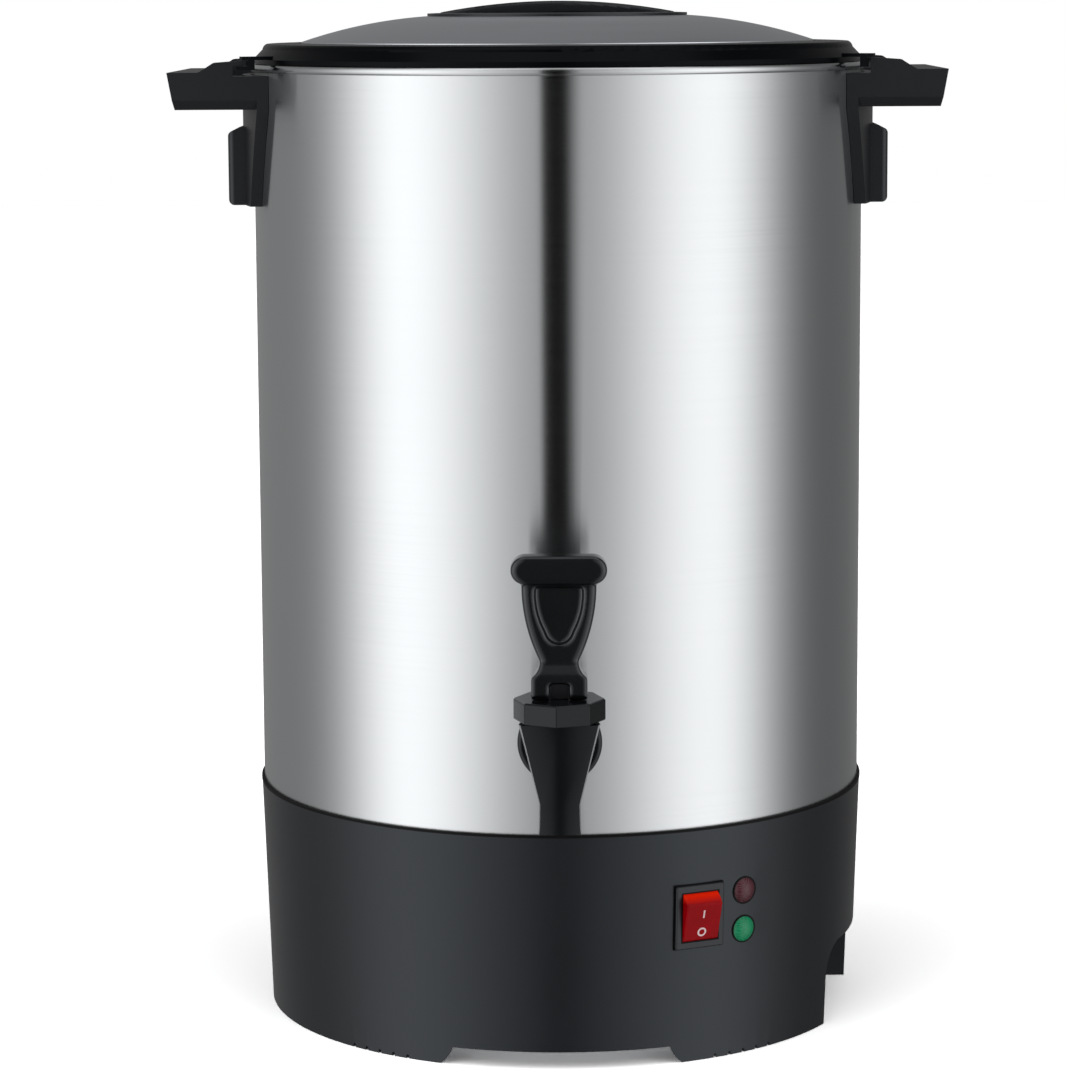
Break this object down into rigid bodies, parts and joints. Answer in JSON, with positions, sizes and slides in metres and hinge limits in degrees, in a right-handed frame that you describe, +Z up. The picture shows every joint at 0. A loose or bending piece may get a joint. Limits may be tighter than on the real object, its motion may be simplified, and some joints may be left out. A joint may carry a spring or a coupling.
{
  "type": "coffee urn",
  "caption": "Tall coffee urn: brushed steel tank on a black base, lever tap at the front, lift-off lid, side handles, lit switch and lamps.",
  "frame": {"origin": "on the tank's axis, in the plane the base stands on", "axes": "+Z up along the tank's axis; -Y is the front, towards the tap; +X to the right as one faces the tap"},
  "size_m": [0.3744, 0.3645, 0.5001],
  "materials": {
    "brushed_tank": "circumferentially brushed",
    "dome_steel": "satin",
    "inner_steel": "plain drawn",
    "base_plastic": "fine texture",
    "black_plastic": "satin",
    "gloss_black": "gloss",
    "seal_black": "dull",
    "seal_clear": "dull",
    "fastener": "plain",
    "plate_steel": "zinc plated",
    "brass_part": "plain",
    "switch_red": "translucent red",
    "lamp_red": "translucent, unlit",
    "lamp_green": "translucent, lit",
    "heater_alloy": "cast",
    "insulator": "pale phenolic moulding",
    "wire_sheath": "smooth"
  },
  "bodies": {
    "urn": {"tank_shell": "brushed_tank", "tank_studs": "fastener", "stud_nuts": "fastener", "base_housing": "base_plastic", "seam_ring": "seal_black", "bottom_plate": "plate_steel", "bottom_screws": "fastener", "rubber_feet": "seal_black", "handle_left": "black_plastic", "handle_right": "black_plastic", "handle_screws": "fastener", "tap_body": "gloss_black", "tap_flange": "gloss_black", "tap_outer_gasket": "seal_black", "tap_inner_gasket": "seal_clear", "tap_shank_nut": "inner_steel", "tap_bonnet": "gloss_black", "main_heater": "heater_alloy", "keep_warm_heater": "inner_steel", "thermostat": "insulator", "thermal_fuse": "insulator", "switch_body": "black_plastic", "switch_terminals": "brass_part", "lamp_lens_red": "lamp_red", "lamp_lens_green": "lamp_green", "lamp_cases": "black_plastic", "inlet_socket": "black_plastic", "inlet_pins": "brass_part", "inlet_screws": "fastener", "terminal_block": "insulator", "block_screws": "brass_part", "inlet_wires": "wire_sheath", "switch_wires": "wire_sheath"},
    "lid_seal": {"lid_seal": "seal_clear"},
    "lid": {"lid_rim": "black_plastic", "lid_dome": "dome_steel", "lid_handle": "black_plastic", "lid_handle_nut": "black_plastic"},
    "tap_stem": {"tap_stem": "inner_steel", "tap_seat_cup": "seal_clear", "tap_spring": "inner_steel", "tap_lever_pin": "inner_steel"},
    "tap_lever": {"tap_lever": "gloss_black"},
    "rocker": {"switch_rocker": "switch_red"},
    "pump": {"pump_tube": "inner_steel"},
    "basket": {"coffee_basket": "inner_steel"},
    "basket_lid": {"basket_lid": "inner_steel"},
    "valve": {"pump_valve": "inner_steel"}
  },
  "joints": [
    {"name": "lid_lift", "type": "slide", "parent": "urn", "child": "lid_seal", "axis": [0, 0, 1], "range_m": [0, 0.15]},
    {"name": "lid_twist", "type": "hinge", "parent": "lid_seal", "child": "lid", "pos_m": [0, 0, 0.4705], "axis": [0, 0, -1], "range_deg": [0, 4]},
    {"name": "tap_stem_lift", "type": "slide", "parent": "urn", "child": "tap_stem", "axis": [0, 0, 1], "range_m": [0, 0.004], "deforming": ["tap_spring"]},
    {"name": "tap_lever_tilt", "type": "hinge", "parent": "tap_stem", "child": "tap_lever", "pos_m": [0, -0.192, 0.1952], "axis": [1, 0, 0], "range_deg": [0, 45], "stiffness_Nm_per_rad": 0.25, "springref_deg": -20.05},
    {"name": "power_rocker", "type": "hinge", "parent": "urn", "child": "rocker", "pos_m": [0.06346, -0.13128, 0.07173], "axis": [-0.9003, -0.4352, 0], "range_deg": [0, 26]},
    {"name": "pump_tube_lift", "type": "slide", "parent": "urn", "child": "pump", "axis": [0, 0, 1], "range_m": [0, 0.02]},
    {"name": "basket_lift", "type": "slide", "parent": "pump", "child": "basket", "axis": [0, 0, 1], "range_m": [0, 0.02]},
    {"name": "basket_lid_lift", "type": "slide", "parent": "basket", "child": "basket_lid", "axis": [0, 0, 1], "range_m": [0, 0.02]},
    {"name": "valve_lift", "type": "slide", "parent": "urn", "child": "valve", "axis": [0, 0, 1], "range_m": [0, 0.003]}
  ],
  "couplings": [
    {"joint": "tap_stem_lift", "follows": "tap_lever_tilt", "m_per_rad": 0.005}
  ]
}
